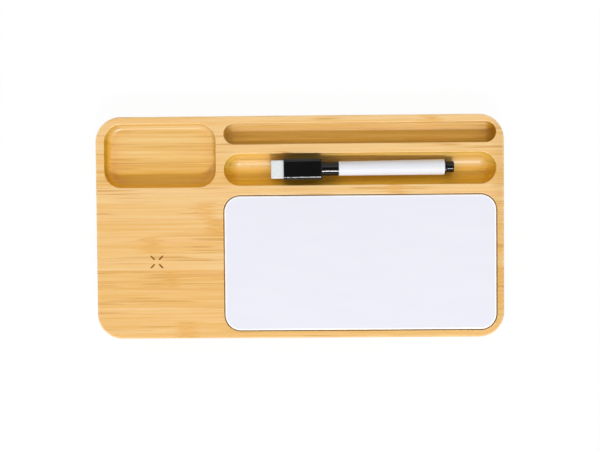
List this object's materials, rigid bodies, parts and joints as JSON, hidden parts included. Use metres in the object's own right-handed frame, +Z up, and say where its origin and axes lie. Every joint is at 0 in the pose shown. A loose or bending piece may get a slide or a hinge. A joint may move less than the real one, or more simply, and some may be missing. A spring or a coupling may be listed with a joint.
{
  "type": "charging station organizer",
  "caption": "Bamboo desk organizer with a coved tray, round-bottomed pen and marker grooves, an inset dry-erase panel, a capped marker and a wireless charging spot.",
  "frame": {"origin": "under the middle of the board, on the surface that the rubber feet stand on", "axes": "+X to the right along the grooves, +Y to the back where the pen groove is, +Z up"},
  "size_m": [0.26, 0.142, 0.0254],
  "materials": {
    "bamboo": "satin lacquered laminated bamboo",
    "whiteboard": "gloss dry-erase laminate",
    "tape": "double-sided tissue tape",
    "cover_plastic": "fine matte texture",
    "steel": "zinc plated",
    "circuit_board": "solder mask",
    "black_plastic": "moulded gloss",
    "white_plastic": "moulded gloss",
    "ferrite": "sintered matte",
    "capacitor": "fired ceramic",
    "copper": "enamelled wire",
    "rubber": "matte",
    "felt": "pressed felt",
    "nib_fibre": "inked fibre",
    "wick_fibre": "inked fibre"
  },
  "bodies": {
    "organizer": {"bamboo_board": "bamboo", "whiteboard_panel": "whiteboard", "panel_tape_strips": "tape", "charger_cover": "cover_plastic", "cover_screws": "steel", "charger_pcb": "circuit_board", "pcb_screws": "steel", "usb_socket_shell": "steel", "usb_socket_tongue": "black_plastic", "controller_chip": "black_plastic", "filter_inductor": "ferrite", "bridge_transistors": "black_plastic", "resonance_capacitors": "capacitor", "ferrite_shield": "ferrite", "charging_coil": "copper", "coil_leads": "copper", "coil_adhesive": "tape", "foot_front_left": "rubber", "foot_front_right": "rubber", "foot_back_left": "rubber", "foot_back_right": "rubber"},
    "marker": {"marker_barrel": "white_plastic", "marker_end_plug": "black_plastic", "marker_tip_holder": "black_plastic", "marker_nib": "nib_fibre", "marker_ink_reservoir": "wick_fibre"},
    "marker_cap": {"cap_shell": "black_plastic", "cap_eraser": "felt"}
  },
  "joints": [
    {"name": "marker_lift", "type": "slide", "parent": "organizer", "child": "marker", "axis": [0, 0, 1], "range_m": [0, 0.05]},
    {"name": "cap_pull", "type": "slide", "parent": "marker", "child": "marker_cap", "axis": [-0.9992, -0.0082, 0.0391], "range_m": [0, 0.024]}
  ]
}
